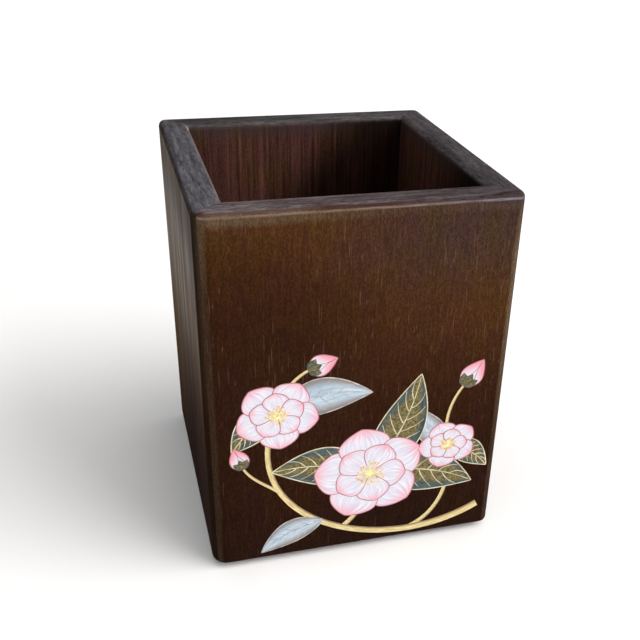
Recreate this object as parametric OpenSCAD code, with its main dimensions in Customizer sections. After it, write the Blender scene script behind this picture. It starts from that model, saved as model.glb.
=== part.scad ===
// Square wooden pen holder cup: four mitred wall boards held by hidden splines,
// a base panel let into a rebate, rubber feet underneath and a printed floral spray on the front.
// Millimetres, +Z up, origin on the resting plane under the middle of the cup, front facing -Y.

/* [Walls] */
// Outside width across the front
body_w = 80; // [64:1:110]
// Outside depth from front to back
body_d = 82; // [64:1:110]
// Height of the wall boards
wall_h = 100.5; // [84:0.5:140]
// Thickness of the wall boards
wall_t = 8; // [7:0.5:11]
// Rounding of the upright outer edge at the front left
front_left_r = 4; // [2:0.25:5]
// Rounding of the upright outer edge at the front right
front_right_r = 2.5; // [2:0.25:5]
// Rounding of the upright outer edge at the back left
back_left_r = 2; // [2:0.25:5]
// Rounding of the upright outer edge at the back right
back_right_r = 2.5; // [2:0.25:5]
// Rounding of the outer edges at the rim and at the foot
rim_r = 1.8; // [0.4:0.1:1.8]
// Rounding of the inner edge of the rim
inner_ease = 2; // [0.5:0.25:3]

/* [Base] */
// Thickness of the base panel
base_t = 6; // [4:0.5:9]
// How far the base panel is let into each wall
rebate_w = 4; // [2:0.5:5]
// Fitting gap between the edge of the base panel and the rebate
base_gap = 0.15; // [0.05:0.05:0.3]

/* [Corner splines] */
// Thickness of a spline
spline_t = 1.6; // [1:0.2:2.4]
// Width of a spline across the mitre
spline_w = 6; // [4:0.5:7]
// Distance of a spline from the inner corner, along the mitre
spline_setback = 5; // [4:0.25:6]
// Wood left above and below each spline slot
spline_cover = 10; // [6:1:16]
// Fitting gap round a spline
spline_gap = 0.1; // [0.05:0.05:0.2]

/* [Feet] */
// Diameter of a stick-on rubber foot
foot_d = 10; // [8:0.5:14]
// Thickness of a foot
foot_t = 1.5; // [1:0.25:3]
// Rounding of the lower edge of a foot
foot_r = 0.6; // [0.2:0.1:0.8]
// Distance from a foot to the edge of the base panel
foot_margin = 2.5; // [1:0.5:5]

/* [Print] */
// Thickness of the raised ink
ink_t = 0.15; // [0.05:0.05:0.3]
// Bare wood between the print and the rounded edges
print_margin = 0.5; // [0.5:0.25:4]

/* [Hidden] */
$fn = 64;
over = 1; // cutters run past a face by this much

// Each corner: its name and the signs of its X and Y
CORNERS = [
  ["front_left", -1, -1],
  ["front_right", 1, -1],
  ["back_left", -1, 1],
  ["back_right", 1, 1],
];

// Colours of the finishes
WOOD = "#4a2c1a";
BASE_WOOD = "#3f2416";
SPLINE_WOOD = "#b08a5a";
RUBBER = "#1d1c1b";
TWIG_INK = "#d9c489";
LEAF_INK = "#4d5a50";
PALE_LEAF_INK = "#a9b9c2";
PETAL_INK = "#ecd9e0";
BUD_INK = "#d992a4";
STAMEN_INK = "#e6c65a";

base_w = body_w - 2 * (wall_t - rebate_w + base_gap);
base_d = body_d - 2 * (wall_t - rebate_w + base_gap);
spline_h = wall_h - base_t - 2 * spline_cover;

// The spray is laid out in a field of this size, which is fitted to the flat of the front wall
FIELD_W = 71;
FIELD_H = 62;
print_w = body_w - 2 * (max(front_left_r, front_right_r) + print_margin);
print_h = wall_h - 2 * (rim_r + print_margin);
unit = min(print_w / FIELD_W, print_h / FIELD_H);

// Twigs: four control points and the width at each end
TWIGS = [
  [[[35.5, 6], [8, -9], [-36, 11], [-22, 45]], 2.4, 1.3],
  [[[-5, 4.6], [0, 8], [3, 14], [3, 22]], 1.6, 1.2],
  [[[15, 1.2], [23, 4], [28, 14], [25, 28]], 1.5, 1],
  [[[25, 28], [23, 36], [25, 42], [28, 46]], 1, 0.8],
  [[[-22, 45], [-21, 50], [-18, 54], [-14, 56]], 1.2, 0.8],
  [[[-21.4, 19.6], [-25, 23], [-29, 25], [-31, 29]], 1, 0.7],
];
TWIG_STEPS = 14;

// Blades, such as leaves and buds: foot, direction, length, width and bow
LEAVES = [
  [[3, 22], -14, 31, 14, 0.16],
  [[3, 22], 66, 32, 13, -0.14],
  [[3, 22], 170, 27, 12, -0.16],
  [[-22, 45], 222, 16, 8.5, -0.16],
  [[25, 28], -36, 15, 7.5, 0.16],
];
PALE_LEAVES = [
  [[-22, 45], 6, 25, 10.5, 0.16],
  [[25, 28], 126, 16, 7.5, 0.14],
  [[-10, 8.6], 206, 19, 7.5, -0.16],
];
BUDS = [
  [[28, 46], 55, 9, 6.5, 0],
  [[-14, 56], 20, 8, 6, 0],
  [[-31, 29], 110, 7, 5, 0],
];
BLADE_STEPS = 14;

// Form of a blade: a higher bias widens it towards the tip, a lower bluntness rounds its ends
LEAF_FORM = [0.85, 0.9];
BUD_FORM = [0.75, 0.9];
PETAL_FORM = [1.45, 0.72];

// Blossoms: centre, radius, turn and how far each is tilted out of round
BLOSSOMS = [
  [[3, 22], 15.5, 10, 0.94],
  [[-22, 44], 11, 40, 0.92],
  [[25, 28], 8.5, 20, 0.88],
];
PETALS = 5;
PETAL_SHARE = 0.92; // width of a petal over its length
STAMEN_SHARE = 0.28; // radius of the stamens over the radius of the blossom

function heading(a) = [cos(a), sin(a)];
function across(v) = [-v[1], v[0]];

// Point on a cubic curve, and its direction there
function curve(p, t) =
  pow(1 - t, 3) * p[0] + 3 * pow(1 - t, 2) * t * p[1] + 3 * (1 - t) * t * t * p[2] + pow(t, 3) * p[3];
function slope(p, t) =
  pow(1 - t, 2) * (p[1] - p[0]) + 2 * (1 - t) * t * (p[2] - p[1]) + t * t * (p[3] - p[2]);

// Point on the edge of a twig, on the side given by its sign
function twig_point(twig, t, side) =
  let (
    along = slope(twig[0], t),
    half = (twig[1] + (twig[2] - twig[1]) * t) / 2
  )
  curve(twig[0], t) + side * half * across(along) / norm(along);

// Point on the edge of a blade, which swells, narrows again and bows to one side
function blade_point(blade, form, t, side) =
  let (
    along = heading(blade[1]),
    bow = 2 * blade[4] * blade[2] * t * (1 - t),
    half = blade[3] / 2 * pow(sin(180 * pow(t, form[0])), form[1])
  )
  blade[0] + blade[2] * t * along + (bow + side * half) * across(along);

// Outlines, up one side and down the other
function twig_outline(twig) = concat(
  [for (i = [0:TWIG_STEPS]) twig_point(twig, i / TWIG_STEPS, 1)],
  [for (i = [TWIG_STEPS:-1:0]) twig_point(twig, i / TWIG_STEPS, -1)]
);
function spaced(i) = (1 - cos(180 * i / BLADE_STEPS)) / 2;
function blade_outline(blade, form) = concat(
  [for (i = [0:BLADE_STEPS]) blade_point(blade, form, spaced(i), 1)],
  [for (i = [BLADE_STEPS - 1:-1:1]) blade_point(blade, form, spaced(i), -1)]
);
function petal_outline(blossom, turn) = [
  for (p = blade_outline([[0, 0], turn, blossom[1], PETAL_SHARE * blossom[1], 0], PETAL_FORM))
    blossom[0] + [p[0], p[1] * blossom[3]]
];

// The flat shapes of the print
module stamens_2d() {
  for (b = BLOSSOMS) translate(unit * b[0]) circle(r = unit * b[1] * STAMEN_SHARE);
}
module petals_2d() {
  for (b = BLOSSOMS, k = [1:PETALS]) polygon(unit * petal_outline(b, b[2] + 90 + k * 360 / PETALS));
}
module blades_2d(blades, form) {
  for (b = blades) polygon(unit * blade_outline(b, form));
}
module twigs_2d() {
  for (t = TWIGS) polygon(unit * twig_outline(t));
}

// What lies over the leaves
module flowers_2d() {
  petals_2d();
  blades_2d(BUDS, BUD_FORM);
}

// Raises a flat shape of the print off the front wall
module printed() {
  translate([0, -body_d / 2, foot_t + rim_r + print_margin])
    rotate([90, 0, 0])
      linear_extrude(ink_t) children();
}

// Section of a wall board: X from the outer face inwards, Y up
module wall_section() {
  difference() {
    union() {
      translate([rim_r, 0]) square([wall_t - rim_r, wall_h]);
      translate([0, rim_r]) square([wall_t, wall_h - 2 * rim_r]);
      for (y = [rim_r, wall_h - rim_r]) translate([rim_r, y]) circle(r = rim_r);
    }
    translate([wall_t - inner_ease, wall_h - inner_ease])
      difference() {
        square(inner_ease + over);
        circle(r = inner_ease);
      }
  }
}

// Section of an upright edge of this rounding, from its axis outwards
module corner_section(r) {
  intersection() {
    square([r, wall_h]);
    union() {
      square([r - rim_r, wall_h]);
      translate([0, rim_r]) square([r, wall_h - 2 * rim_r]);
      for (y = [rim_r, wall_h - rim_r]) translate([r - rim_r, y]) circle(r = rim_r);
    }
  }
}

// Slot or spline across the mitre of the corner with these signs, grown by a gap
module across_mitre(sx, sy, gap) {
  inset = wall_t - spline_setback * sin(45);
  translate([sx * (body_w / 2 - inset), sy * (body_d / 2 - inset), foot_t + base_t + spline_cover - gap])
    rotate(sx * sy * 45)
      translate([-spline_t / 2 - gap, -spline_w / 2 - gap, 0])
        cube([spline_t + 2 * gap, spline_w + 2 * gap, spline_h + 2 * gap]);
}

// Wall board facing -Y, at this reach from the middle of the cup, with the roundings of its two ends
module wall_blank(span, reach, left_r, right_r) {
  left = left_r - span / 2;
  right = span / 2 - right_r;
  translate([0, -reach, foot_t])
    difference() {
      intersection() {
        union() {
          rotate([90, 0, 90]) translate([0, 0, left]) linear_extrude(right - left) wall_section();
          translate([left, left_r, 0]) rotate_extrude() corner_section(left_r);
          translate([right, right_r, 0]) rotate_extrude() corner_section(right_r);
        }
        translate([0, 0, -over])
          linear_extrude(wall_h + 2 * over)
            polygon([[-span / 2, 0], [span / 2, 0], [span / 2 - wall_t, wall_t], [-span / 2 + wall_t, wall_t]]);
      }
      translate([-span / 2, wall_t - rebate_w, -over]) cube([span, rebate_w + over, base_t + over]);
    }
}

// Wall board turned to its side of the cup, with its spline slots
module wall(turn, span, reach, left_r, right_r) {
  color(WOOD)
    difference() {
      rotate(turn) wall_blank(span, reach, left_r, right_r);
      for (c = CORNERS) across_mitre(c[1], c[2], spline_gap);
    }
}

module front_wall() {
  wall(0, body_w, body_d / 2, front_left_r, front_right_r);
}

module back_wall() {
  wall(180, body_w, body_d / 2, back_right_r, back_left_r);
}

module left_wall() {
  wall(-90, body_d, body_w / 2, back_left_r, front_left_r);
}

module right_wall() {
  wall(90, body_d, body_w / 2, front_right_r, back_right_r);
}

module base_panel() {
  color(BASE_WOOD)
    translate([-base_w / 2, -base_d / 2, foot_t]) cube([base_w, base_d, base_t]);
}

module spline(corner) {
  color(SPLINE_WOOD) across_mitre(corner[1], corner[2], 0);
}

module foot(corner) {
  inset = foot_margin + foot_d / 2;
  color(RUBBER)
    translate([corner[1] * (base_w / 2 - inset), corner[2] * (base_d / 2 - inset), 0])
      rotate_extrude() {
        square([foot_d / 2 - foot_r, foot_t]);
        translate([0, foot_r]) square([foot_d / 2, foot_t - foot_r]);
        translate([foot_d / 2 - foot_r, foot_r]) circle(r = foot_r);
      }
}

// Ink layers: each is cut back where another lies over it
module print_stamens() {
  color(STAMEN_INK) printed() stamens_2d();
}

module print_petals() {
  color(PETAL_INK)
    printed()
      difference() {
        petals_2d();
        stamens_2d();
      }
}

module print_buds() {
  color(BUD_INK)
    printed()
      difference() {
        blades_2d(BUDS, BUD_FORM);
        petals_2d();
      }
}

module print_leaves() {
  color(LEAF_INK)
    printed()
      difference() {
        blades_2d(LEAVES, LEAF_FORM);
        flowers_2d();
      }
}

module print_pale_leaves() {
  color(PALE_LEAF_INK)
    printed()
      difference() {
        blades_2d(PALE_LEAVES, LEAF_FORM);
        blades_2d(LEAVES, LEAF_FORM);
        flowers_2d();
      }
}

module print_branch() {
  color(TWIG_INK)
    printed()
      difference() {
        twigs_2d();
        blades_2d(LEAVES, LEAF_FORM);
        blades_2d(PALE_LEAVES, LEAF_FORM);
        flowers_2d();
      }
}

front_wall();
back_wall();
left_wall();
right_wall();
base_panel();
for (c = CORNERS) {
  spline(c);
  foot(c);
}
print_branch();
print_leaves();
print_pale_leaves();
print_petals();
print_buds();
print_stamens();
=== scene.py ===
"""Looks of a square wooden pen holder cup: stained boards, rubber feet and a printed spray of blossom."""

import math
import random

import bpy
from mathutils import Matrix, Vector


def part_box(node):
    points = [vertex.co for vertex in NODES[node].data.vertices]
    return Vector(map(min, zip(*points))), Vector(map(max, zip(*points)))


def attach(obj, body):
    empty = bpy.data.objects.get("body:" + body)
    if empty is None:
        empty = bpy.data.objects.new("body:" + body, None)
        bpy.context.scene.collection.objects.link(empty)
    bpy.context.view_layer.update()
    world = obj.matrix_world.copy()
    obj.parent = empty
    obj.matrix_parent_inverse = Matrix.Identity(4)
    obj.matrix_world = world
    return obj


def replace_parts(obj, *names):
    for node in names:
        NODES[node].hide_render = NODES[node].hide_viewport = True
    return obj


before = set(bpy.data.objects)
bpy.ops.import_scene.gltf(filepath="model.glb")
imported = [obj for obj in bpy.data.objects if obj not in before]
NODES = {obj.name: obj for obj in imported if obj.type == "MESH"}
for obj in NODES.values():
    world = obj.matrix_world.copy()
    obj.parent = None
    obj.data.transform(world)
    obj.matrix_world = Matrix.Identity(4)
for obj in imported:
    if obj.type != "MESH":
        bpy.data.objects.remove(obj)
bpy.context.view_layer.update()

MM = 0.001
CORNERS = ("front_left", "front_right", "back_left", "back_right")

# Camera: where it stands, the degrees that it turns right, looks down and tilts, its lens and its shift
CAMERA_PLACE = Vector((-57.46, -228.97, 170.33)) * MM
CAMERA_TURN = 17.24
CAMERA_DOWN = 30.03
CAMERA_ROLL = 2.15
CAMERA_LENS = 50.62
CAMERA_SHIFT = (-0.0715, 0.0866)

# The front wall and the ink on it, read from the frame
wall_low, wall_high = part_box("front_wall")
stamen_low, stamen_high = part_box("print_stamens")
wall_t = wall_high.y - wall_low.y
ink_t = wall_low.y - stamen_low.y

# Layout of the spray, in the same field units as the solids of the print
# Twigs: four control points and the width at each end
TWIGS = (
    (((35.5, 6), (8, -9), (-36, 11), (-22, 45)), 2.4, 1.3),
    (((-5, 4.6), (0, 8), (3, 14), (3, 22)), 1.6, 1.2),
    (((15, 1.2), (23, 4), (28, 14), (25, 28)), 1.5, 1.0),
    (((25, 28), (23, 36), (25, 42), (28, 46)), 1.0, 0.8),
    (((-22, 45), (-21, 50), (-18, 54), (-14, 56)), 1.2, 0.8),
    (((-21.4, 19.6), (-25, 23), (-29, 25), (-31, 29)), 1.0, 0.7),
)
# Blades, such as leaves and buds: foot, direction, length, width and bow
LEAVES = (
    ((3, 22), -14, 31, 14, 0.16),
    ((3, 22), 66, 32, 13, -0.14),
    ((3, 22), 170, 27, 12, -0.16),
    ((-22, 45), 222, 16, 8.5, -0.16),
    ((25, 28), -36, 15, 7.5, 0.16),
)
PALE_LEAVES = (
    ((-22, 45), 6, 25, 10.5, 0.16),
    ((25, 28), 126, 16, 7.5, 0.14),
    ((-10, 8.6), 206, 19, 7.5, -0.16),
)
BUDS = (
    ((28, 46), 55, 9, 6.5, 0),
    ((-14, 56), 20, 8, 6, 0),
    ((-31, 29), 110, 7, 5, 0),
)
# Form of a blade: a higher bias widens it towards the tip, a lower bluntness rounds its ends
LEAF_FORM = (0.85, 0.9)
BUD_FORM = (0.75, 0.9)
PETAL_FORM = (1.45, 0.72)
# Blossoms: centre, radius, turn and how far each is tilted out of round
BLOSSOMS = (
    ((3, 22), 15.5, 10, 0.94),
    ((-22, 44), 11, 40, 0.92),
    ((25, 28), 8.5, 20, 0.88),
)
PETALS = 5
PETAL_SHARE = 0.92
STAMEN_SHARE = 0.28
INNER_SHARE = 0.66

# Size of a field unit and the field's origin, from the solids of the stamens
stamen_reach = [(x - r * STAMEN_SHARE, x + r * STAMEN_SHARE) for (x, _), r, _, _ in BLOSSOMS]
stamen_foot = min(z - r * STAMEN_SHARE for (_, z), r, _, _ in BLOSSOMS)
stamen_left = min(low for low, _ in stamen_reach)
stamen_right = max(high for _, high in stamen_reach)
unit = (stamen_high.x - stamen_low.x) / (stamen_right - stamen_left)
field_x = stamen_low.x - unit * stamen_left
field_z = stamen_low.z - unit * stamen_foot

# How high each kind of ink stands, as a share of the full thickness
TWIG_TOP = 0.05
PALE_LEAF_TOP = 0.12
LEAF_TOP = 0.19
BUD_TOP = 0.30
SEPAL_TOP = 0.36
OUTER_PETAL_TOP = 0.44
INNER_PETAL_TOP = 0.62
PETAL_LEAN = 0.05
FILAMENT_TOP = 0.78
PISTIL_TOP = 0.88
ANTHER_TOP = 1.0
LINE_RISE = 0.03
TWIG_STEP = 0.008
LEAF_STEP = 0.012
SEPAL_STEP = 0.02

# Steps of the printed meshes
BLADE_STEPS = 28
BLADE_COLUMNS = 10
TWIG_STEPS = 40
LINE_STEPS = 12
DOT_SIDES = 10


# Node building


class Recipe:
    """A material, and short ways to add nodes to it."""

    def __init__(self, name):
        self.material = bpy.data.materials.new(name)
        self.material.use_nodes = True
        self.nodes = self.material.node_tree.nodes
        self.links = self.material.node_tree.links
        self.shader = self.nodes["Principled BSDF"]

    def put(self, socket, value):
        """Links a socket to another node's output, or sets it to a constant."""
        if isinstance(value, bpy.types.NodeSocket):
            self.links.new(value, socket)
        else:
            socket.default_value = value

    def set(self, **values):
        """Sets sockets of the shader: base_color stands for Base Color."""
        for name, value in values.items():
            title = name.replace("_", " ").title().replace("Ior", "IOR")
            self.put(self.shader.inputs[title], value)

    def coords(self, kind):
        return self.nodes.new("ShaderNodeTexCoord").outputs[kind]

    def attribute(self, name):
        node = self.nodes.new("ShaderNodeAttribute")
        node.attribute_name = name
        return node.outputs["Fac"]

    def mapped(self, vector, scale=(1, 1, 1), shift=(0, 0, 0), turn=0.0):
        node = self.nodes.new("ShaderNodeMapping")
        self.put(node.inputs["Vector"], vector)
        node.inputs["Scale"].default_value = scale
        node.inputs["Location"].default_value = shift
        node.inputs["Rotation"].default_value = (0, 0, turn)
        return node.outputs["Vector"]

    def joined(self, x, y, z):
        node = self.nodes.new("ShaderNodeCombineXYZ")
        for socket, value in zip(node.inputs, (x, y, z)):
            self.put(socket, value)
        return node.outputs["Vector"]

    def parts(self, vector):
        node = self.nodes.new("ShaderNodeSeparateXYZ")
        self.put(node.inputs["Vector"], vector)
        return node.outputs

    def math(self, operation, a, b=0.0):
        node = self.nodes.new("ShaderNodeMath")
        node.operation = operation
        self.put(node.inputs[0], a)
        self.put(node.inputs[1], b)
        return node.outputs["Value"]

    def times(self, first, *others):
        """The product of all the values."""
        for other in others:
            first = self.math("MULTIPLY", first, other)
        return first

    def total(self, first, *others):
        """The sum of all the values."""
        for other in others:
            first = self.math("ADD", first, other)
        return first

    def minus(self, a, b):
        return self.math("SUBTRACT", a, b)

    def larger(self, a, b):
        return self.math("MAXIMUM", a, b)

    def size(self, value):
        """The value without its sign."""
        return self.math("ABSOLUTE", value)

    def swing(self, noise, share):
        """How far a noise strays from its middle, times a share."""
        return self.times(self.minus(noise, 0.5), share)

    def length(self, vector):
        node = self.nodes.new("ShaderNodeVectorMath")
        node.operation = "LENGTH"
        self.put(node.inputs[0], vector)
        return node.outputs["Value"]

    def noise(self, vector, scale=1.0, detail=2.0, roughness=0.5):
        node = self.nodes.new("ShaderNodeTexNoise")
        self.put(node.inputs["Vector"], vector)
        node.inputs["Scale"].default_value = scale
        node.inputs["Detail"].default_value = detail
        node.inputs["Roughness"].default_value = roughness
        return node.outputs["Fac"]

    def cells(self, vector):
        """Distance to the nearest of many scattered points, one to a unit, and a random colour for each."""
        node = self.nodes.new("ShaderNodeTexVoronoi")
        self.put(node.inputs["Vector"], vector)
        node.inputs["Scale"].default_value = 1.0
        return node.outputs["Distance"], node.outputs["Color"]

    def eased(self, value, low, high, to_low=0.0, to_high=1.0):
        """A smooth step from to_low to to_high as the value goes from low to high."""
        node = self.nodes.new("ShaderNodeMapRange")
        node.interpolation_type = "SMOOTHSTEP"
        for title, given in (("Value", value), ("From Min", low), ("From Max", high)):
            self.put(node.inputs[title], given)
        self.put(node.inputs["To Min"], to_low)
        self.put(node.inputs["To Max"], to_high)
        return node.outputs["Result"]

    def ramp(self, value, *stops):
        node = self.nodes.new("ShaderNodeValToRGB")
        self.put(node.inputs["Fac"], value)
        elements = node.color_ramp.elements
        while len(elements) < len(stops):
            elements.new(0.5)
        for element, (place, colour) in zip(elements, stops):
            element.position = place
            element.color = (*colour, 1)
        return node.outputs["Color"]

    def blend(self, value, low, high, tones):
        """From the first tone to the second as the value goes from low to high."""
        return self.ramp(value, (low, tones[0]), (high, tones[1]))

    def mix(self, factor, a, b, blend="MIX"):
        node = self.nodes.new("ShaderNodeMix")
        node.data_type = "RGBA"
        node.blend_type = blend
        self.put(node.inputs[0], factor)
        for socket, value in ((node.inputs[6], a), (node.inputs[7], b)):
            self.put(socket, value if isinstance(value, bpy.types.NodeSocket) else (*value, 1))
        return node.outputs[2]

    def tinted(self, colour, red, green, blue):
        """A colour with its red, green and blue each times a factor."""
        return self.mix(1.0, colour, self.joined(red, green, blue), "MULTIPLY")

    def shaded(self, colour, factor):
        return self.tinted(colour, factor, factor, factor)

    def bump(self, height, strength, distance):
        """Gives the surface a relief that stands up to the distance."""
        node = self.nodes.new("ShaderNodeBump")
        node.inputs["Strength"].default_value = strength
        node.inputs["Distance"].default_value = distance
        self.put(node.inputs["Height"], height)
        self.put(self.shader.inputs["Normal"], node.outputs["Normal"])


# Wood

# The range that holds nearly all of a noise
NOISE_SPAN = (0.3, 0.7)

# Stain of the boards from the foot to the top, the painted reflections and sheen, and the stain inside the
# cup
STAIN_FOOT = (0.0160, 0.0060, 0.0034)
STAIN_LOW = (0.0280, 0.0088, 0.0032)
STAIN_HIGH = (0.0400, 0.0136, 0.0044)
STAIN_TOP = (0.0590, 0.0226, 0.0068)
MAUVE_PAINTED_REFLECTION = (0.0500, 0.0250, 0.0170)
OLIVE_PAINTED_REFLECTION = (0.0900, 0.0500, 0.0185)
GREY_PAINTED_SHEEN = (0.0680, 0.0580, 0.0490)
STAIN_INSIDE = (0.0770, 0.0318, 0.0212)
# Stain of the base panel
STAIN_DARK = (0.022, 0.0068, 0.0026)
STAIN_RED = (0.046, 0.0150, 0.0056)
STAIN_GOLD = (0.082, 0.0320, 0.0105)
# Pores, and the edges: olive and mauve for wear with painted reflection, painted shade, pink, rose and chip
# for wear with painted highlight, and a lilac painted highlight
PORE_PALE = (0.120, 0.0680, 0.0400)
EDGE_OLIVE = (0.100, 0.0655, 0.0390)
EDGE_PAINTED_SHADE = (0.013, 0.0068, 0.0030)
EDGE_PINK_WEAR_AND_HIGHLIGHT = (0.205, 0.1400, 0.1080)
EDGE_PAINTED_HIGHLIGHT = (0.215, 0.2020, 0.2320)
EDGE_ROSE_WEAR_AND_HIGHLIGHT = (0.165, 0.1280, 0.1180)
EDGE_MAUVE = (0.052, 0.0350, 0.0330)
EDGE_CHIP_AND_HIGHLIGHT = (0.560, 0.4300, 0.4000)
# End grain on the rim and the foot, grey-lilac in part as painted reflection of the sky, and the range of
# noise over which it turns from dark to pale
END_DARK = (0.016, 0.0138, 0.0148)
END_PALE = (0.104, 0.0915, 0.0965)
END_SPAN = (0.36, 0.64)
# How far the end grain is lifted on the handled board, and as painted reflection on the board with painted
# sheen, in red, green and blue
END_LIFTS = ((0.14, 0.26), (0.06, 0.40), (0.04, 0.50))

# Cells of each kind of grain in a metre: along the rim, through the board and up it
BANDS = (130, 130, 8)
STREAKS = (900, 900, 10)
STRANDS = (1500, 1500, 50)
FIBRES = (1900, 1900, 200)
SPECKS = (3400, 3400, 1400)
DRIFTS = (40, 40, 22)
HUES = (150, 150, 90)
CLUSTERS = (90, 90, 55)
LONG_PORES = (1700, 1700, 85)
SHORT_PORES = (1900, 1900, 260)
CHIPS = (90, 1500, 1500)
END_DOTS = (420, 2300, 300)
RIM_STREAKS = (60, 700, 700)
# How far apart the boards lie in the grain, so that no two look alike
BOARD_STEP = (0.37, 0.11, 0.23)
GRAIN_DEPTH = 0.10 * MM

# Growth rings: their spacing, how far they wander, and the pith behind the board
RING_SPACING = 1.5 * MM
RING_CELLS = (45, 200, 9)
RING_WANDER = 3.0 * MM
PITH_BEHIND = 450 * MM
PITH_STEP = 10 * MM
PITH_LEAN = 0.04

# Bands of wear, painted reflection and painted highlight, measured from the rim or from a side: where each
# begins to show, and shows in full
UNDER_RIM = (6.0 * MM, 2.2 * MM)
RIM_RUB_AND_REFLECTION = (4.6 * MM, 2.4 * MM)
LEFT_RUB_AND_REFLECTION = (2.0 * MM, 1.2 * MM)
RIGHT_RUB_AND_REFLECTION = (1.6 * MM, 0.9 * MM)
CORNER_CHIP_AND_HIGHLIGHT = (wall_t + 3.5 * MM, wall_t + 1.0 * MM)
# How far the tones of the stain are shifted at the sides of a board, as a share of its height
STAIN_LEAN = 0.20

# Boards: degrees of turn, how far each is worn by hands with painted highlights, how much painted sheen and
# reflection it carries, and the tones of its rim from left to right, as seen from outside
BOARDS = (
    ("front_wall", 0, 1.0, 0.0, (1.40, 0.76)),
    ("right_wall", -90, 0.0, 0.0, (0.94, 0.96)),
    ("back_wall", 180, 0.0, 0.0, (0.96, 0.72)),
    ("left_wall", 90, 0.0, 0.8, (0.96, 1.14)),
)


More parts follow.
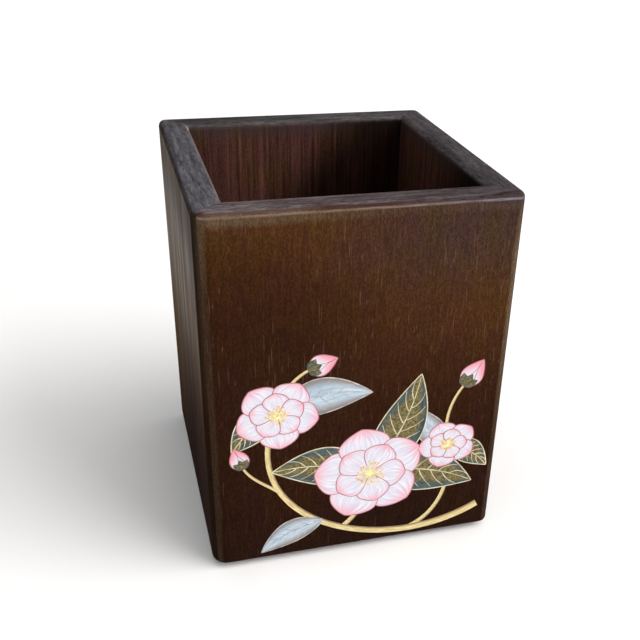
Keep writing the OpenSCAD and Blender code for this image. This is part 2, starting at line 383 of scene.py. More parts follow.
class Board(Recipe):
    """Stained wood with upright grain, in the frame of a board that faces -Y before its turn."""

    def __init__(self, node, turn, seed, rub_and_highlight, painted_sheen, rim_tones):
        super().__init__(node + "_wood")
        low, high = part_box(node)
        self.half = max(high.x - low.x, high.y - low.y) / 2
        self.rub_and_highlight = rub_and_highlight
        self.painted_sheen = painted_sheen
        self.rim_tones = rim_tones
        here = self.mapped(self.coords("Object"), turn=turn)
        self.find_places(here, turn, high.z)
        self.draw_grain(here, seed)

    def find_places(self, here, turn, top):
        """Where a point lies on the board, and which way the board faces there."""
        self.across, _, up = self.parts(here)
        self.height = self.math("DIVIDE", up, wall_high.z)
        self.below_rim = self.minus(top, up)
        self.from_left = self.total(self.half, self.across)
        self.from_right = self.minus(self.half, self.across)
        self.rightward, self.inward, self.upward = self.parts(self.mapped(self.coords("Normal"), turn=turn))
        self.level = self.size(self.upward)
        self.inside = self.eased(self.inward, 0.3, 0.9)
        self.outside = self.eased(self.inward, 0.2, -0.2)
        self.under_rim = self.eased(self.below_rim, *UNDER_RIM, 0.0, 0.75)

    def draw_grain(self, here, seed):
        """The kinds of grain that the layers of the finish share."""
        self.apart = self.mapped(here, shift=[seed * step for step in BOARD_STEP])
        self.rings = self.growth_rings(here, seed)
        self.bands = self.grain(BANDS, 6, 0.75)
        self.streaks = self.grain(STREAKS, 4, 0.6)
        self.strands = self.grain(STRANDS, 4, 0.65)
        self.fibres = self.grain(FIBRES, 2, 0.6)
        self.specks = self.grain(SPECKS, 2, 0.7)
        self.drifts = self.grain(DRIFTS, 3)
        self.hues = self.grain(HUES, 3)
        self.chips = self.grain(CHIPS, 4, 0.7)

    def grain(self, cells, detail, roughness=0.5):
        return self.noise(self.mapped(self.apart, scale=cells), detail=detail, roughness=roughness)

    def growth_rings(self, here, seed):
        """Tone of the growth rings round a pith that lies far behind the board."""
        wander = self.times(self.grain(RING_CELLS, 3), RING_WANDER)
        pith = (PITH_STEP * seed, -PITH_BEHIND, 0)
        radius = self.length(self.mapped(here, scale=(1, 1, PITH_LEAN), shift=pith))
        place = self.math("DIVIDE", self.total(radius, wander), RING_SPACING)
        return self.noise(self.joined(place, seed, 0.0), detail=3, roughness=0.65)

    def by_side(self, outer, inner):
        """One value outside the cup, and another inside it."""
        return self.eased(self.inside, 0.0, 1.0, outer, inner)

    def stain(self):
        """The stain, darker towards the foot and paler towards the top, with a painted mauve reflection at
        the upper right, and painted olive reflection and grey sheen where a board carries painted sheen.
        """
        half = self.half
        drift = self.swing(self.drifts, 0.45)
        lean = self.times(self.across, STAIN_LEAN / half, self.eased(self.height, 1.0, 0.78))
        high_lean = self.times(lean, self.eased(self.height, 0.25, 0.58, 0.1, 1.0))
        reach = self.total(self.height, high_lean, drift)
        stops = ((0.05, STAIN_FOOT), (0.50, STAIN_LOW), (0.72, STAIN_HIGH), (0.90, STAIN_TOP))
        stain = self.ramp(reach, *stops)
        near_top = self.eased(self.height, 0.70, 0.92)
        # Painted reflection: a cool mauve haze towards the upper right of each board.
        corner = self.times(self.eased(self.across, -0.5 * half, 0.7 * half), near_top)
        stain = self.mix(corner, stain, MAUVE_PAINTED_REFLECTION)
        # Painted reflection on the board that carries painted sheen: olive rising up the board, and a grey
        # painted sheen near the top.
        reflection_reach = self.minus(self.total(self.height, drift), self.times(lean, 1.6))
        painted_reflection = self.times(self.eased(reflection_reach, 0.15, 0.80), self.eased(self.height, 1.0, 0.70, 0.4, 1.0))
        stain = self.mix(self.times(painted_reflection, self.painted_sheen), stain, OLIVE_PAINTED_REFLECTION)
        stain = self.mix(self.times(near_top, 0.7 * self.painted_sheen), stain, GREY_PAINTED_SHEEN)
        return self.mix(self.inside, stain, self.inner_stain())

    def inner_stain(self):
        """The redder stain inside the cup, mauve under the rim as partly wear and partly painted sheen, and
        a painted shadow at one end of each inner face that reaches further along deeper down.
        """
        # Painted shadow: the neighbouring wall's shadow at one end of each inner face, reaching further
        # along the deeper it goes.
        deep = self.minus(self.across, self.times(self.below_rim, 0.8))
        painted_shadow = self.eased(deep, -0.65 * self.half, -0.10 * self.half, 0.18, 1.0)
        painted_shadow_and_drift = self.times(painted_shadow, self.eased(self.drifts, *NOISE_SPAN, 0.9, 1.15))
        return self.shaded(self.mix(self.under_rim, STAIN_INSIDE, EDGE_MAUVE), painted_shadow_and_drift)

    def grain_shade(self):
        """Light and dark of the grain: fine outside, bolder inside, and calmer under the rim."""
        ringed = self.times(self.by_side(0.5, 0.3), self.minus(self.rings, self.streaks))
        long_grain = self.total(self.streaks, ringed)
        short_grain = self.total(self.times(self.fibres, 0.35), self.times(self.specks, 0.65))
        shade = self.total(
            self.swing(long_grain, self.by_side(1.1 + 1.6 * self.painted_sheen, 2.6)),
            self.swing(short_grain, self.by_side(3.6, 2.6)),
            self.swing(self.strands, self.by_side(0.0, 2.6)),
            self.swing(self.bands, self.by_side(2.4 * self.painted_sheen, 0.0)),
        )
        calm = self.minus(1.0, self.times(self.under_rim, self.inside, 0.7))
        return self.larger(self.total(self.times(shade, calm), 0.97), self.by_side(0.70, 0.50))

    def grained(self, stain, shade):
        """The stain with its grain, in patches that lean to gold or to red."""
        green = self.times(shade, self.eased(self.hues, *NOISE_SPAN, 0.94, 1.06))
        blue = self.times(shade, self.eased(self.hues, *NOISE_SPAN, 1.18, 0.82))
        return self.tinted(stain, shade, green, blue)

    def dashes(self, cells, odds):
        """Short dashes along the grain, one in each chosen cell."""
        distance, chance = self.cells(self.mapped(self.apart, scale=cells))
        chosen = self.eased(self.parts(chance)[0], 1 - odds, 1.04 - odds)
        return self.times(self.eased(distance, 0.30, 0.12), chosen)

    def with_pores(self, colour):
        """Pale pores, gathered in clusters, and fewer inside and towards the foot."""
        pores = self.larger(self.dashes(LONG_PORES, 0.40), self.dashes(SHORT_PORES, 0.25))
        clusters = self.eased(self.grain(CLUSTERS, 2), 0.38, 0.62)
        gathered = self.eased(clusters, 0.0, 1.0, 0.15, 0.60)
        fewer = self.times(self.by_side(1.0, 0.2), self.eased(self.height, 0.15, 0.80, 0.35, 1.0))
        return self.mix(self.times(pores, gathered, fewer), colour, PORE_PALE)

    def with_rub_and_reflection(self, colour, shade):
        """A handled board is worn paler under the rim, most at the left, and along its sides: partly wear
        and partly painted reflection of the rounded edges, in olive, and a painted mauve reflection at the
        right end under the rim.
        """
        half = self.half
        near_rim = self.eased(self.below_rim, *RIM_RUB_AND_REFLECTION)
        right_end = self.eased(self.across, 0.45 * half, 0.95 * half)
        from_left_end = self.eased(self.across, -half, 0.6 * half, 0.85, 0.15)
        rim_rub_and_reflection = self.times(near_rim, self.total(from_left_end, self.times(right_end, 0.55)))
        left_share = self.eased(self.height, 0.78, 0.92, 0.22, 0.55)
        left_rub_and_reflection = self.times(self.eased(self.from_left, *LEFT_RUB_AND_REFLECTION), left_share)
        right_share = self.eased(self.height, 0.25, 0.70, 0.24, 0.80)
        right_share = self.times(right_share, self.eased(self.height, 0.98, 0.84, 0.4, 1.0))
        right_rub_and_reflection = self.times(self.eased(self.from_right, *RIGHT_RUB_AND_REFLECTION), right_share)
        rub_and_reflection = self.larger(rim_rub_and_reflection, self.larger(left_rub_and_reflection, right_rub_and_reflection))
        share = self.times(rub_and_reflection, self.eased(self.level, 0.85, 0.45), self.outside, self.rub_and_highlight)
        # Painted reflection in part: the worn band's olive also stands for the rounded edges' reflection,
        # and turns mauve at the right end under the rim.
        rub_and_reflection_tone = self.mix(self.times(right_end, near_rim), EDGE_OLIVE, EDGE_MAUVE)
        return self.mix(share, colour, self.shaded(rub_and_reflection_tone, shade))

    def with_scuffs(self, colour):
        """Mauve scuffs where a handled board rolls over to its rim."""
        rolled = self.eased(self.level, 0.35, 0.55)
        scuffs = self.eased(self.chips, 0.35, 0.65, 0.35, 0.90)
        return self.mix(self.times(rolled, scuffs, self.outside, self.rub_and_highlight), colour, EDGE_MAUVE)

    def bent_edge(self):
        """Where the board bends round its upright outer edges, softer towards the mitre."""
        squarest = self.larger(self.size(self.rightward), self.size(self.inward))
        bent = self.times(self.eased(squarest, 0.998, 0.96), self.eased(squarest, 0.95, 0.72, 1.0, 0.50))
        return self.times(bent, self.eased(self.level, 0.55, 0.15), self.eased(self.inward, 0.1, -0.1))

    def end_grain_and_reflection(self):
        """Tone of the rim and the foot, grey-lilac in part as painted reflection of the sky, and lifted as
        painted light where the rim rolls over its inner edge into shade.
        """
        dots = self.grain(END_DOTS, 4, 0.75)
        tone = self.total(self.times(dots, 0.65), self.times(self.rings, 0.35))
        lifts = [1 + by_rub_and_highlight * self.rub_and_highlight + by_sheen * self.painted_sheen for by_rub_and_highlight, by_sheen in END_LIFTS]
        tones = [[part * lift for part, lift in zip(end, lifts)] for end in (END_DARK, END_PALE)]
        along_rim = self.eased(self.across, -self.half, self.half, *self.rim_tones)
        # Painted light: the inner rounding is lifted against the shade that falls there.
        rolled = self.eased(self.inward, 0.05, 0.7, 1.0, 1.15)
        return self.shaded(self.blend(tone, *END_SPAN, tones), self.times(rolled, along_rim))

    def with_end_grain_and_reflection(self, colour):
        """End grain and its painted reflection where the board turns level, which starts higher at the left
        of a handled board.
        """
        start = -0.3 * self.half
        end = 0.8 * self.half
        outer_begin = self.eased(self.across, start, end, 0.30 + 0.40 * self.rub_and_highlight, 0.30)
        outer_finish = self.eased(self.across, start, end, 0.60 + 0.33 * self.rub_and_highlight, 0.60)
        begin = self.eased(self.inward, -0.1, 0.1, outer_begin, 0.20)
        finish = self.eased(self.inward, -0.1, 0.1, outer_finish, 0.70)
        return self.mix(self.eased(self.level, begin, finish), colour, self.end_grain_and_reflection())

    def with_rim_streaks(self, colour):
        """Long streaks along the rim, stronger on a handled board, where the dark ones are redder."""
        streaks = self.grain(RIM_STREAKS, 4, 0.65)
        darkest = 0.70 - 0.12 * self.rub_and_highlight
        palest = 1.26 + 0.12 * self.rub_and_highlight
        streak = self.eased(streaks, *END_SPAN, darkest, palest)
        red = self.eased(streaks, *END_SPAN, darkest + 0.16 * self.rub_and_highlight, palest - 0.06 * self.rub_and_highlight)
        streaked = self.tinted(colour, red, streak, streak)
        return self.mix(self.eased(self.level, 0.15, 0.45), colour, streaked)

    def with_rim_lines(self, colour):
        """A painted shade line along the outer edge of the rim, a line along its inner edge that is partly
        wear and partly painted highlight, and a chip with a painted highlight.
        """
        # Painted shade: a dark line along the rim's outer edge, on the boards without wear there.
        painted_shade_line = self.times(self.eased(self.level, 0.20, 0.40), self.eased(self.level, 0.85, 0.65))
        colour = self.mix(self.times(painted_shade_line, self.outside, 0.8 * (1 - self.rub_and_highlight)), colour, EDGE_PAINTED_SHADE)
        # Partly wear and partly painted highlight: a rose line along the inner edge, and a pale chip with a
        # painted highlight at the left corner.
        start = 0.50 - 0.32 * self.rub_and_highlight
        inner_wear_and_highlight = self.times(
            self.eased(self.inward, start, start + 0.2),
            self.eased(self.level, 0.30, 0.50),
            self.eased(self.chips, 0.38, 0.58, 0.35, 1.0),
        )
        worn = 0.05 + 0.70 * max(self.rub_and_highlight, self.painted_sheen)
        colour = self.mix(self.times(inner_wear_and_highlight, worn), colour, EDGE_ROSE_WEAR_AND_HIGHLIGHT)
        left_corner = self.eased(self.from_left, *CORNER_CHIP_AND_HIGHLIGHT)
        return self.mix(self.times(inner_wear_and_highlight, left_corner, self.painted_sheen), colour, EDGE_CHIP_AND_HIGHLIGHT)

    def with_worn_and_highlight_line(self, colour):
        """A broken line along the outer edge of a handled board: pink at the left, partly wear and partly
        painted highlight, turning to a lilac painted highlight.
        """
        line = self.times(self.eased(self.upward, 0.06, 0.18), self.eased(self.upward, 0.46, 0.30))
        broken = self.times(line, self.eased(self.chips, 0.38, 0.60, 0.25, 0.95))
        tone = self.mix(self.eased(self.across, -0.1 * self.half, 0.9 * self.half), EDGE_PINK_WEAR_AND_HIGHLIGHT, EDGE_PAINTED_HIGHLIGHT)
        return self.mix(self.times(broken, self.outside, self.rub_and_highlight), colour, tone)

    def roughness(self, bent):
        """Satin where the board is handled, matt towards the foot, by the rim and on the bent edges that
        carry painted shade.
        """
        polish = self.eased(self.bands, *NOISE_SPAN, 0.30, 0.66)
        low = self.eased(self.height, 0.72, 0.18, 0.0, 0.46)
        high = self.eased(self.height, 0.80, 0.97, 0.0, 0.16)
        return self.total(polish, low, high, self.times(bent, 0.4 * (1 - self.rub_and_highlight)))


def stained_wood(node, turn, seed, rub_and_highlight, painted_sheen, rim_tones):
    """Dark stained wood, from the stain itself to the wear on its edges, with painted shade, painted
    reflections and painted highlights.
    """
    m = Board(node, turn, seed, rub_and_highlight, painted_sheen, rim_tones)
    shade = m.grain_shade()
    bent = m.bent_edge()
    colour = m.with_pores(m.grained(m.stain(), shade))
    colour = m.with_scuffs(m.with_rub_and_reflection(colour, shade))
    # Painted shade on the bent upright edges, on the boards without wear there.
    colour = m.mix(m.times(bent, 0.9 * (1 - rub_and_highlight)), colour, EDGE_PAINTED_SHADE)
    colour = m.with_rim_streaks(m.with_end_grain_and_reflection(colour))
    colour = m.with_worn_and_highlight_line(m.with_rim_lines(colour))
    m.bump(m.total(m.fibres, m.specks, m.times(m.streaks, 0.6)), 0.20, GRAIN_DEPTH)
    m.set(base_color=colour, roughness=m.roughness(bent), specular_ior_level=0.03)
    return m.material


# Other solids

BARE_TONES = ((0.30, 0.18, 0.09), (0.46, 0.31, 0.17))
RUBBER_TONES = ((0.010, 0.010, 0.010), (0.030, 0.029, 0.027))


def bare_wood(name):
    """Pale hardwood, as cut, for the hidden splines."""
    m = Recipe(name)
    streaks = m.noise(m.mapped(m.coords("Object"), scale=(900, 900, 18)), detail=4)
    m.bump(streaks, 0.3, 0.10 * MM)
    colour = m.blend(streaks, *NOISE_SPAN, BARE_TONES)
    m.set(base_color=colour, roughness=m.eased(streaks, *NOISE_SPAN, 0.6, 0.75))
    return m.material


def base_wood(name):
    """The base panel: the same stain, laid flat and left matt."""
    m = Recipe(name)
    here = m.coords("Object")
    streaks = m.noise(m.mapped(here, scale=(16, 520, 520)), detail=4, roughness=0.6)
    drifts = m.noise(m.mapped(here, scale=(12, 45, 45)), detail=2)
    tone = m.total(m.times(streaks, 0.65), m.times(drifts, 0.35))
    colour = m.ramp(tone, (0.32, STAIN_DARK), (0.50, STAIN_RED), (0.70, STAIN_GOLD))
    m.bump(streaks, 0.3, 0.12 * MM)
    m.set(base_color=colour, roughness=m.eased(streaks, *NOISE_SPAN, 0.5, 0.68), specular_ior_level=0.2)
    return m.material


def rubber(name):
    """Matt black rubber with a fine moulded grain and a little dust."""
    m = Recipe(name)
    here = m.coords("Object")
    grain = m.noise(here, scale=5200, detail=2)
    dust = m.noise(here, scale=700, detail=4)
    m.bump(grain, 0.35, 0.06 * MM)
    colour = m.blend(dust, 0.35, 0.75, RUBBER_TONES)
    m.set(base_color=colour, roughness=m.eased(dust, *NOISE_SPAN, 0.62, 0.82))
    return m.material


# Inks

WHITE_INK = (0.77, 0.74, 0.79)
LILAC_INK = (0.56, 0.58, 0.71)
PINK_INK = (0.78, 0.30, 0.37)
ROSE_INK = (0.55, 0.12, 0.19)
# Dark and pale tones of the inks that waver between two
SLATE_TONES = ((0.018, 0.030, 0.034), (0.085, 0.125, 0.130))
OLIVE_TONES = ((0.060, 0.052, 0.018), (0.240, 0.190, 0.070))
SKY_TONES = ((0.26, 0.36, 0.46), (0.58, 0.68, 0.76))
DUSK_TONES = ((0.13, 0.11, 0.10), (0.34, 0.29, 0.27))
TWIG_TONES = ((0.50, 0.38, 0.15), (0.80, 0.68, 0.36))
TWIG_SHADE_TONES = ((0.15, 0.09, 0.05), (0.32, 0.22, 0.12))
VEIN_TONES = ((0.42, 0.36, 0.20), (0.80, 0.74, 0.52))
PALE_VEIN_TONES = ((0.20, 0.20, 0.22), (0.62, 0.58, 0.56))
OUTLINE_TONES = ((0.30, 0.10, 0.12), (0.52, 0.24, 0.26))
PETAL_VEIN_TONES = ((0.66, 0.42, 0.48), (0.80, 0.62, 0.68))
FILAMENT_TONES = ((0.62, 0.52, 0.16), (0.86, 0.80, 0.46))
ANTHER_TONES = ((0.55, 0.30, 0.03), (0.88, 0.62, 0.12))
# Where along a petal its pink tip begins, and where the tip is all pink
PETAL_BLUSH = (0.68, 1.06)
# How far apart the blades of one piece lie in the brush streaks
STROKE_STEP = 40.0
INK_DEPTH = 0.04 * MM


def ink(m, colour):
    """Finishes a printed colour: a satin film with a faint grain."""
    grain = m.noise(m.coords("Object"), scale=2600, detail=3)
    m.bump(grain, 0.12, INK_DEPTH)
    m.set(base_color=colour, roughness=m.eased(grain, *NOISE_SPAN, 0.42, 0.56), specular_ior_level=0.25)
    return m.material


def strokes(m, fine, long):
    """Brush streaks that run from the foot of a blade to its tip."""
    side = m.times(m.attribute("side"), fine)
    along = m.times(m.attribute("along"), long)
    apart = m.times(m.attribute("seed"), STROKE_STEP)
    return m.noise(m.joined(side, along, apart), detail=3, roughness=0.6)


def petal_ink(name):
    """White petals streaked with lilac, pink at the tip and the edges and rose at the foot."""
    m = Recipe(name)
    along = m.attribute("along")
    edge = m.size(m.attribute("side"))
    streaks = strokes(m, 9.0, 1.6)
    colour = m.mix(m.eased(streaks, 0.35, 0.65), WHITE_INK, LILAC_INK)
    tip = m.eased(m.total(along, m.swing(streaks, 0.35)), *PETAL_BLUSH)
    colour = m.mix(m.times(tip, 0.85), colour, PINK_INK)
    rim = m.times(m.eased(edge, 0.62, 1.0), m.eased(along, 0.15, 0.6))
    colour = m.mix(m.times(rim, 0.32), colour, PINK_INK)
    foot = m.eased(along, 0.34, 0.05)
    colour = m.mix(m.times(foot, 0.5), colour, ROSE_INK)
    return ink(m, colour)


def leaf_ink(name):
    """Slate and teal leaves with olive and gold towards the midrib."""
    m = Recipe(name)
    edge = m.size(m.attribute("side"))
    blots = m.noise(m.coords("Object"), scale=150, detail=4, roughness=0.65)
    specks = m.noise(m.coords("Object"), scale=1700, detail=2)
    slate = m.blend(strokes(m, 5.0, 6.0), *NOISE_SPAN, SLATE_TONES)
    olive = m.blend(specks, 0.35, 0.68, OLIVE_TONES)
    inner = m.minus(m.total(blots, 0.42), m.times(edge, 0.62))
    return ink(m, m.mix(m.eased(inner, 0.42, 0.68), slate, olive))


def pale_leaf_ink(name):
    """Pale blue leaves that turn grey-brown at the edge."""
    m = Recipe(name)
    edge = m.size(m.attribute("side"))
    streaks = strokes(m, 7.0, 3.0)
    sky = m.blend(streaks, *NOISE_SPAN, SKY_TONES)
    dusk = m.blend(streaks, *NOISE_SPAN, DUSK_TONES)
    worn = m.total(edge, m.swing(streaks, 0.8))
    return ink(m, m.mix(m.eased(worn, 0.35, 0.95), sky, dusk))


def twig_ink(name):
    """Pale gold twigs that are darker along one side."""
    m = Recipe(name)
    streaks = strokes(m, 2.0, 30.0)
    gold = m.blend(streaks, *NOISE_SPAN, TWIG_TONES)
    shade = m.blend(streaks, *NOISE_SPAN, TWIG_SHADE_TONES)
    return ink(m, m.mix(m.eased(m.attribute("side"), 0.1, 0.95), gold, shade))


def bud_ink(name):
    """Pink buds with a paler belly."""
    m = Recipe(name)
    edge = m.size(m.attribute("side"))
    streaks = strokes(m, 6.0, 2.0)
    belly = m.mix(streaks, WHITE_INK, LILAC_INK)
    blush = m.total(m.attribute("along"), m.times(edge, 0.35), m.swing(streaks, 0.4))
    return ink(m, m.mix(m.eased(blush, 0.45, 1.0), belly, PINK_INK))


def line_ink(name, tones):
    """Thin drawn lines whose tone wavers along them."""
    m = Recipe(name)
    waver = m.noise(m.coords("Object"), scale=420, detail=3)
    return ink(m, m.blend(waver, 0.32, 0.68, tones))


def stamen_ink(name, tones):
    """Golden strokes and dots with a fine mottle."""
    m = Recipe(name)
    mottle = m.noise(m.coords("Object"), scale=1400, detail=3)
    return ink(m, m.blend(mottle, 0.34, 0.62, tones))


# Printed meshes


class Relief:
    """Collects the points, faces and values of one printed piece."""

    def __init__(self):
        self.points = []
        self.faces = []
        self.values = {"along": [], "side": [], "seed": []}

    def point(self, spot, top, along=0.0, side=0.0, seed=0.0):
        """Adds a point at a spot of the field, standing off the wall by a share of the ink's thickness."""
        x, z = spot
        self.points.append((field_x + unit * x, wall_low.y - ink_t * top, field_z + unit * z))
        for key, value in (("along", along), ("side", side), ("seed", seed)):
            self.values[key].append(value)
        return len(self.points) - 1

    def piece(self, name, material):
        mesh = bpy.data.meshes.new(name)
        mesh.from_pydata(self.points, [], self.faces)
        for key, values in self.values.items():
            mesh.attributes.new(key, "FLOAT", "POINT").data.foreach_set("value", values)
        mesh.materials.append(material)
        made = bpy.data.objects.new(name, mesh)
        bpy.context.scene.collection.objects.link(made)
        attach(made, "root")
        return made


def plus(a, b, share=1.0):
    """The spot a, moved by a share of b."""
    return (a[0] + share * b[0], a[1] + share * b[1])


def heading(degrees):
    """A step of one field unit, with 0 degrees to the right and 90 up."""
    return (math.cos(math.radians(degrees)), math.sin(math.radians(degrees)))


def sideways(step):
    """A step turned a quarter to the left."""
    return (-step[1], step[0])


def eased_steps(count):
    """Places from 0 to 1 that crowd towards both ends."""
    return [(1 - math.cos(math.pi * i / count)) / 2 for i in range(count + 1)]


def blade_spot(blade, form, along, side):
    """The spot of a blade at this share of its length and of its half width."""
    foot, direction, length, width, bow = blade
    bias, blunt = form
    half = width / 2 * math.sin(math.pi * along**bias) ** blunt if 0 < along < 1 else 0
    ahead = heading(direction)
    offset = 2 * bow * length * along * (1 - along) + side * half
    return plus(plus(foot, ahead, length * along), sideways(ahead), offset)


def squashed(centre, tilt):
    """Draws spots towards a level line through the centre, as a blossom seen from above."""
    return lambda spot: (spot[0], centre[1] + tilt * (spot[1] - centre[1]))


def unchanged(spot):
    return spot


def add_blade(relief, blade, form, top, lean=0.0, seed=0.0, place=unchanged):
    """A thin closed blade on the wall, whose two long edges stand at different heights when it leans."""
    rows = eased_steps(BLADE_STEPS)
    sides = [2 * j / BLADE_COLUMNS - 1 for j in range(BLADE_COLUMNS + 1)]

    def sheet(level):
        grid = []
        for along in rows:
            ends = along in (rows[0], rows[-1])
            row = []
            for side in [0.0] if ends else sides:
                spot = place(blade_spot(blade, form, along, side))
                row.append(relief.point(spot, level(side), along, side, seed))
            grid.append(row * len(sides) if ends else row)
        return grid

    upper = sheet(lambda side: top + lean * side)
    lower = sheet(lambda side: 0.0)
    for i in range(BLADE_STEPS):
        for j in range(BLADE_COLUMNS):
            corners = ((i, j), (i + 1, j), (i + 1, j + 1), (i, j + 1))
            add_face(relief, [upper[a][b] for a, b in corners])
            add_face(relief, [lower[a][b] for a, b in reversed(corners)])
        for j, a, b in ((0, i, i + 1), (BLADE_COLUMNS, i + 1, i)):
            add_face(relief, [lower[a][j], lower[b][j], upper[b][j], upper[a][j]])


def add_face(relief, corners):
    """A face without its repeated corners, left out if fewer than three remain."""
    face = list(dict.fromkeys(corners))
    if len(face) > 2:
        relief.faces.append(face)


def add_ribbon(relief, path, widths, tops, closed=False, seed=0.0):
    """A thin closed strip along a path of spots, with a width and a height for each."""
    count = len(path)
    sections = []
    for i, spot in enumerate(path):
        before = path[i - 1] if closed or i > 0 else spot
        after = path[(i + 1) % count] if closed or i < count - 1 else spot
        run = plus(after, before, -1)
        size = math.hypot(*run) or 1.0
        side = sideways((run[0] / size, run[1] / size))
        along = i / (count - 1)
        section = []
        for sign, top in ((1, 0.0), (1, tops[i]), (-1, tops[i]), (-1, 0.0)):
            place = plus(spot, side, sign * widths[i] / 2)
            section.append(relief.point(place, top, along, -sign, seed))
        sections.append(section)
    pairs = list(zip(sections, sections[1:]))
    if closed:
        pairs.append((sections[-1], sections[0]))
    for a, b in pairs:
        for j in range(4):
            k = (j + 1) % 4
            relief.faces.append([a[k], b[k], b[j], a[j]])
    if not closed:
        relief.faces.append(sections[0])
        relief.faces.append(sections[-1][::-1])


def add_outline(relief, blade, form, width, top, lean=0.0, place=unchanged):
    """A line round the edge of a blade."""
    rows = eased_steps(BLADE_STEPS)
    trip = [(along, 1) for along in rows] + [(along, -1) for along in rows[-2:0:-1]]
    path = [place(blade_spot(blade, form, along, side)) for along, side in trip]
    tops = [top + lean * side for _, side in trip]
    add_ribbon(relief, path, [width] * len(path), tops, closed=True)


def add_line(relief, blade, form, run, widths, top, lean=0.0, place=unchanged):
    """A tapering line on a blade, whose run gives length and side at both ends, and its curl."""
    (along_0, side_0), (along_1, side_1), curl = run
    path = []
    tops = []
    thick = []
    for i in range(LINE_STEPS + 1):
        t = i / LINE_STEPS
        side = side_0 + (side_1 - side_0) * t**curl
        path.append(place(blade_spot(blade, form, along_0 + (along_1 - along_0) * t, side)))
        tops.append(top + lean * side)
        thick.append(widths[0] + (widths[1] - widths[0]) * t)
    add_ribbon(relief, path, thick, tops)


def add_dot(relief, centre, radius, top, seed):
    """A low dome, from rings at shares of its radius and at rising heights."""
    shoulder = 0.75 * top + 0.25 * FILAMENT_TOP
    rings = ((1.0, 0.0), (0.92, shoulder), (0.5, top))
    loops = []
    for share, level in rings:
        loop = []
        for k in range(DOT_SIDES):
            spot = plus(centre, heading(360 * k / DOT_SIDES), share * radius)
            loop.append(relief.point(spot, level, share, 0.0, seed))
        loops.append(loop)
    for a, b in zip(loops, loops[1:]):
        for k in range(DOT_SIDES):
            n = (k + 1) % DOT_SIDES
            relief.faces.append([a[k], a[n], b[n], b[k]])
    relief.faces.append(loops[0][::-1])
    relief.faces.append(loops[-1])


def curve_spot(points, t):
    """A spot on a cubic curve with four control points."""
    shares = ((1 - t) ** 3, 3 * (1 - t) ** 2 * t, 3 * (1 - t) * t * t, t**3)
    return (
        sum(share * p[0] for share, p in zip(shares, points)),
        sum(share * p[1] for share, p in zip(shares, points)),
    )


def print_branch():
    relief = Relief()
    for seed, (points, start, end) in enumerate(TWIGS):
        steps = [i / TWIG_STEPS for i in range(TWIG_STEPS + 1)]
        path = [curve_spot(points, t) for t in steps]
        widths = [start + (end - start) * t for t in steps]
        top = TWIG_TOP + TWIG_STEP * (len(TWIGS) - seed)
        add_ribbon(relief, path, widths, [top] * len(path), seed=seed)
    made = relief.piece("branch_ink", twig_ink("branch_ink"))
    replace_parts(made, "print_branch")


# Veins of a leaf: places are shares of its length and half width, and widths are in field units
VEINS = 6
MIDRIB_RUN = ((0.02, 0.0), (0.97, 0.0), 1.0)
MIDRIB_WIDTH = (0.55, 0.18)
VEIN_FIRST = 0.14
VEIN_SPAN = 0.70
VEIN_STAGGER = 0.04
VEIN_CLIMB = 0.17
VEIN_REACH = 0.86
VEIN_CURL = 0.8
VEIN_WIDTH = (0.30, 0.12)
PALE_VEIN_SHARE = 0.7
EDGE_WIDTH = 0.30


def add_veins(relief, blade, top, thickness):
    """The midrib and the side veins of a leaf."""
    line = top + LINE_RISE
    ribs = [width * thickness for width in MIDRIB_WIDTH]
    veins = [width * thickness for width in VEIN_WIDTH]
    add_line(relief, blade, LEAF_FORM, MIDRIB_RUN, ribs, line)
    for k in range(VEINS):
        start = VEIN_FIRST + VEIN_SPAN * k / VEINS
        for side in (-1, 1):
            begin = start + VEIN_STAGGER * side
            run = ((begin, 0.0), (begin + VEIN_CLIMB, VEIN_REACH * side), VEIN_CURL)
            add_line(relief, blade, LEAF_FORM, run, veins, line)


def print_leaf_group(blades, top, names, inks, node, thickness):
    """A group of leaves and, apart from them, their veins and edges."""
    leaves = Relief()
    veins = Relief()
    for k, blade in enumerate(blades):
        level = top + LEAF_STEP * k
        add_blade(leaves, blade, LEAF_FORM, level, seed=k + 1)
        add_veins(veins, blade, level, thickness)
        add_outline(veins, blade, LEAF_FORM, EDGE_WIDTH, level + LINE_RISE)
    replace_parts(leaves.piece(names[0], inks[0]), node)
    veins.piece(names[1], inks[1])


def print_leaves():
    names = ("leaf_ink", "leaf_veins")
    inks = (leaf_ink("leaf_ink"), line_ink("vein_ink", VEIN_TONES))
    print_leaf_group(LEAVES, LEAF_TOP, names, inks, "print_leaves", 1.0)


def print_pale_leaves():
    names = ("pale_leaf_ink", "pale_leaf_veins")
    inks = (pale_leaf_ink("pale_leaf_ink"), line_ink("pale_vein_ink", PALE_VEIN_TONES))
    print_leaf_group(
        PALE_LEAVES, PALE_LEAF_TOP, names, inks, "print_pale_leaves", PALE_VEIN_SHARE
    )


# Lines of a petal: each vein starts near the middle and ends at its own share of the half width
PETAL_LINE_WIDTH = 0.24
PETAL_VEINS = (-0.55, -0.28, 0.0, 0.28, 0.55)
PETAL_VEIN_FOOT = 0.22
PETAL_VEIN_GATHER = 0.35
PETAL_VEIN_TIP = 0.80
PETAL_VEIN_DROP = 0.25
PETAL_VEIN_CURL = 1.3
PETAL_VEIN_WIDTH = (0.16, 0.05)


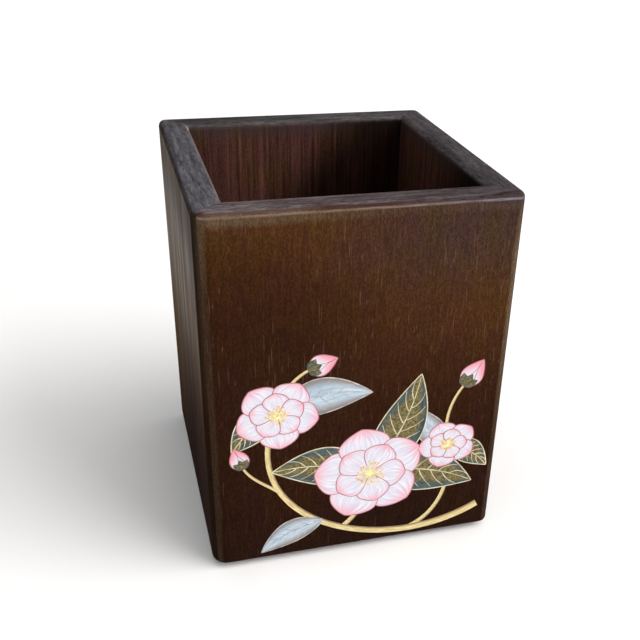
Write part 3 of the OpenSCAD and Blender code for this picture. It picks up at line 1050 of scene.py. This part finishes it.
def add_petal_ring(petals, lines, veins, blossom, share, turn, top):
    """A ring of petals, each with one edge over its neighbour."""
    centre, radius, _, tilt = blossom
    place = squashed(centre, tilt)
    size = radius * share
    for k in range(PETALS):
        blade = (centre, turn + 90 + 360 * k / PETALS, size, PETAL_SHARE * size, 0)
        add_blade(petals, blade, PETAL_FORM, top, PETAL_LEAN, k + radius, place)
        add_outline(lines, blade, PETAL_FORM, PETAL_LINE_WIDTH, top + LINE_RISE, PETAL_LEAN, place)
        for side in PETAL_VEINS:
            foot = (PETAL_VEIN_FOOT, PETAL_VEIN_GATHER * side)
            tip = (PETAL_VEIN_TIP - PETAL_VEIN_DROP * abs(side), side)
            run = (foot, tip, PETAL_VEIN_CURL)
            add_line(veins, blade, PETAL_FORM, run, PETAL_VEIN_WIDTH, top + LINE_RISE, PETAL_LEAN, place)


def print_petals():
    petals = Relief()
    lines = Relief()
    veins = Relief()
    for blossom in BLOSSOMS:
        turn = blossom[2]
        add_petal_ring(petals, lines, veins, blossom, 1.0, turn, OUTER_PETAL_TOP)
        add_petal_ring(petals, lines, veins, blossom, INNER_SHARE, turn + 180 / PETALS, INNER_PETAL_TOP)
    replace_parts(petals.piece("petal_ink", petal_ink("petal_ink")), "print_petals")
    lines.piece("petal_outlines", line_ink("petal_line_ink", OUTLINE_TONES))
    veins.piece("petal_veins", line_ink("petal_vein_ink", PETAL_VEIN_TONES))


# Folds of a bud: side and curl of each, and its place and share of the side at the foot and the tip
BUD_FOLDS = ((0.55, 1.6), (-0.45, 0.7))
FOLD_FOOT = (0.12, -0.9)
FOLD_TIP = (0.93, 0.4)
FOLD_WIDTH = (0.22, 0.12)
# Sepals of a bud: how far each is turned from it, and their size as a share of its own
SEPAL_SPREAD = (-38, 38, 0)
SEPAL_LENGTH = 0.46
SEPAL_WIDTH = 0.40


def print_buds():
    buds = Relief()
    lines = Relief()
    sepals = Relief()
    for k, blade in enumerate(BUDS):
        foot, direction, length, width, _ = blade
        add_blade(buds, blade, BUD_FORM, BUD_TOP, seed=k + 1)
        add_outline(lines, blade, BUD_FORM, PETAL_LINE_WIDTH, BUD_TOP + LINE_RISE)
        for side, curl in BUD_FOLDS:
            ends = [(along, side * share) for along, share in (FOLD_FOOT, FOLD_TIP)]
            add_line(lines, blade, BUD_FORM, (*ends, curl), FOLD_WIDTH, BUD_TOP + LINE_RISE)
        for order, turn in enumerate(SEPAL_SPREAD):
            sepal = (foot, direction + turn, SEPAL_LENGTH * length, SEPAL_WIDTH * width, 0)
            add_blade(sepals, sepal, LEAF_FORM, SEPAL_TOP + SEPAL_STEP * order, seed=k + order)
    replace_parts(buds.piece("bud_ink", bud_ink("bud_ink")), "print_buds")
    lines.piece("bud_outlines", line_ink("bud_line_ink", OUTLINE_TONES))
    sepals.piece("bud_sepals", leaf_ink("sepal_ink"))


# Stamens of a blossom: lengths are shares of their reach, and widths are in field units
FILAMENTS = 26
FILAMENT_JITTER = 0.3
FILAMENT_FOOT = 0.2
FILAMENT_REACH = (0.62, 1.0)
FILAMENT_WIDTH = (0.22, 0.16)
FILAMENT_STEP = 0.002
PISTIL_SHARE = 0.34
# Anthers: least and greatest radius at this root of the reach, with which it grows
ANTHER_RADIUS = (0.20, 0.30)
ANTHER_ROOT = 1.8
STAMEN_SEED = 7


def print_stamens():
    filaments = Relief()
    anthers = Relief()
    draw = random.Random(STAMEN_SEED)
    for centre, radius, _, tilt in BLOSSOMS:
        place = squashed(centre, tilt)
        reach = radius * STAMEN_SHARE
        add_dot(filaments, centre, PISTIL_SHARE * reach, PISTIL_TOP, 0.5)
        for k in range(FILAMENTS):
            angle = 360 * (k + draw.uniform(-FILAMENT_JITTER, FILAMENT_JITTER)) / FILAMENTS
            far = reach * draw.uniform(*FILAMENT_REACH)
            tip = place(plus(centre, heading(angle), far))
            start = place(plus(centre, heading(angle), FILAMENT_FOOT * reach))
            top = FILAMENT_TOP + FILAMENT_STEP * k
            add_ribbon(filaments, [start, tip], FILAMENT_WIDTH, [top] * 2, seed=k)
            thick = draw.uniform(*ANTHER_RADIUS) * math.sqrt(reach) / ANTHER_ROOT
            add_dot(anthers, tip, thick, ANTHER_TOP, k)
    pale = stamen_ink("filament_ink", FILAMENT_TONES)
    gold = stamen_ink("anther_ink", ANTHER_TONES)
    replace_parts(filaments.piece("stamen_filaments", pale), "print_stamens")
    anthers.piece("stamen_anthers", gold)


# Finishes of the solids that stay


def dress(node, material):
    """Gives a solid this material alone."""
    slots = NODES[node].data.materials
    slots.clear()
    slots.append(material)


def dress_solids():
    for seed, (node, turn, rub_and_highlight, painted_sheen, rim_tones) in enumerate(BOARDS, 1):
        dress(node, stained_wood(node, math.radians(turn), seed, rub_and_highlight, painted_sheen, rim_tones))
    dress("base_panel", base_wood("base_wood"))
    spline_wood = bare_wood("spline_wood")
    foot_rubber = rubber("foot_rubber")
    for corner in CORNERS:
        dress("spline_" + corner, spline_wood)
        dress("foot_" + corner, foot_rubber)


# Studio

FLOOR_HALF = 3.0
FLOOR_COLOUR = (0.95, 0.95, 0.95, 1)
WORLD_COLOUR = (1.0, 1.0, 1.0, 1)
WORLD_STRENGTH = 0.40
# Lights: name, place, spread in degrees, strength and colour
LIGHTS = (
    ("key", (0.74, -0.48, 0.48), 55, 2.8, (1.0, 0.97, 0.94)),
    ("overhead", (0.22, -0.30, 0.93), 60, 1.2, (1.0, 0.98, 0.97)),
)


def add_floor():
    corners = [(x * FLOOR_HALF, y * FLOOR_HALF, 0) for x, y in ((-1, -1), (1, -1), (1, 1), (-1, 1))]
    mesh = bpy.data.meshes.new("floor")
    mesh.from_pydata(corners, [], [(0, 1, 2, 3)])
    m = Recipe("floor")
    m.set(base_color=FLOOR_COLOUR, roughness=0.9, specular_ior_level=0.0)
    mesh.materials.append(m.material)
    floor = bpy.data.objects.new("floor", mesh)
    bpy.context.scene.collection.objects.link(floor)


def add_light(name, place, spread, strength, colour):
    """A broad, soft light that shines on the origin from the side of its place."""
    light = bpy.data.lights.new(name, "SUN")
    light.angle = math.radians(spread)
    light.energy = strength
    light.color = colour
    made = bpy.data.objects.new(name, light)
    made.location = place
    made.rotation_euler = (-Vector(place)).to_track_quat("-Z", "Y").to_euler()
    bpy.context.scene.collection.objects.link(made)


def add_studio():
    add_floor()
    world = bpy.data.worlds.new("studio")
    bpy.context.scene.world = world
    world.use_nodes = True
    background = world.node_tree.nodes["Background"]
    background.inputs["Color"].default_value = WORLD_COLOUR
    background.inputs["Strength"].default_value = WORLD_STRENGTH
    for light in LIGHTS:
        add_light(*light)
    bpy.context.scene.view_settings.view_transform = "Standard"


def add_camera():
    turn = math.radians(CAMERA_TURN)
    down = math.radians(CAMERA_DOWN)
    roll = math.radians(CAMERA_ROLL)
    camera = bpy.data.objects.new("camera", bpy.data.cameras.new("camera"))
    camera.data.lens = CAMERA_LENS
    camera.data.shift_x, camera.data.shift_y = CAMERA_SHIFT
    level = Matrix.Rotation(-turn, 4, "Z") @ Matrix.Rotation(math.pi / 2 - down, 4, "X")
    camera.matrix_world = Matrix.Translation(CAMERA_PLACE) @ level @ Matrix.Rotation(roll, 4, "Z")
    bpy.context.scene.collection.objects.link(camera)
    bpy.context.scene.camera = camera


add_camera()
add_studio()
dress_solids()
print_branch()
print_pale_leaves()
print_leaves()
print_buds()
print_petals()
print_stamens()
